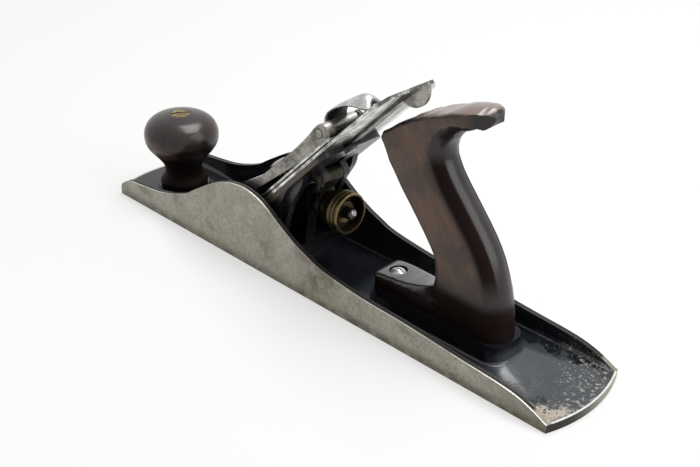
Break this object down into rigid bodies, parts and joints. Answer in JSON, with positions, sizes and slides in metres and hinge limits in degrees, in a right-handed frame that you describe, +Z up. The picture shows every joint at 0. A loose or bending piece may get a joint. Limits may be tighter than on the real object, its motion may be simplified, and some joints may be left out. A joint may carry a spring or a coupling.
{
  "type": "bench plane",
  "caption": "Iron jack plane with a fluted sole, double iron under a lever cap with a cam, brass depth nut, lateral lever, and a dark hardwood knob and tote",
  "frame": {"origin": "middle of the sole, on the face that slides on the work", "axes": "+X from toe to heel, +Y across the sole, +Z up from the sole"},
  "size_m": [0.3556, 0.0636, 0.138],
  "materials": {
    "ground_iron": "ground and aged",
    "black_japan": "glossy black enamel",
    "dark_steel": "dark, aged",
    "bright_steel": "ground, slightly stained",
    "worn_iron": "worn smooth",
    "aged_brass": "aged, unlacquered",
    "rosewood": "old polish, worn"
  },
  "bodies": {
    "plane_body": {"body_casting": "ground_iron", "frog": "black_japan", "frog_screws": "dark_steel", "frog_washers": "dark_steel", "adjusting_stud": "dark_steel", "yoke_pin": "dark_steel", "lateral_rivet": "dark_steel", "lever_cap_screw": "bright_steel", "knob": "rosewood", "knob_rod": "dark_steel", "knob_nut": "aged_brass", "tote": "rosewood", "tote_rod": "dark_steel", "tote_nut": "aged_brass", "tote_toe_screw": "bright_steel"},
    "double_iron": {"plane_iron": "bright_steel", "cap_iron": "bright_steel", "cap_iron_screw": "dark_steel"},
    "depth_nut": {"adjusting_nut": "aged_brass"},
    "depth_yoke": {"yoke": "ground_iron"},
    "lateral_arm": {"lateral_lever": "bright_steel", "lateral_thumb_piece": "bright_steel", "lateral_roller": "dark_steel"},
    "clamp": {"lever_cap": "worn_iron", "cam_pin": "bright_steel", "lever_cap_spring": "dark_steel", "spring_rivet": "dark_steel"},
    "cam": {"cam_lever": "worn_iron"}
  },
  "joints": [
    {"name": "iron_feed", "type": "slide", "parent": "plane_body", "child": "double_iron", "axis": [-0.7071, 0, -0.7071], "range_m": [-0.0015, 0.0008]},
    {"name": "nut_travel", "type": "slide", "parent": "plane_body", "child": "depth_nut", "axis": [0.9986, 0, 0.0523], "range_m": [-0.0034, 0.0019]},
    {"name": "yoke_swing", "type": "hinge", "parent": "plane_body", "child": "depth_yoke", "pos_m": [-0.00436, 0, 0.06364], "axis": [0, -1, 0], "range_deg": [-9.2, 5.2]},
    {"name": "lateral_swing", "type": "hinge", "parent": "plane_body", "child": "lateral_arm", "pos_m": [0.00801, 0, 0.08591], "axis": [-0.7071, 0, 0.7071], "range_deg": [-7, 7]},
    {"name": "clamp_slide", "type": "slide", "parent": "plane_body", "child": "clamp", "axis": [0.7071, 0, 0.7071], "range_m": [0, 0.011]},
    {"name": "cam_open", "type": "hinge", "parent": "clamp", "child": "cam", "pos_m": [0.00222, 0, 0.09596], "axis": [0, -1, 0], "range_deg": [0, 105]}
  ],
  "couplings": [
    {"joint": "nut_travel", "follows": "iron_feed", "ratio": 2.156},
    {"joint": "yoke_swing", "follows": "iron_feed", "rad_per_m": 104.2}
  ]
}
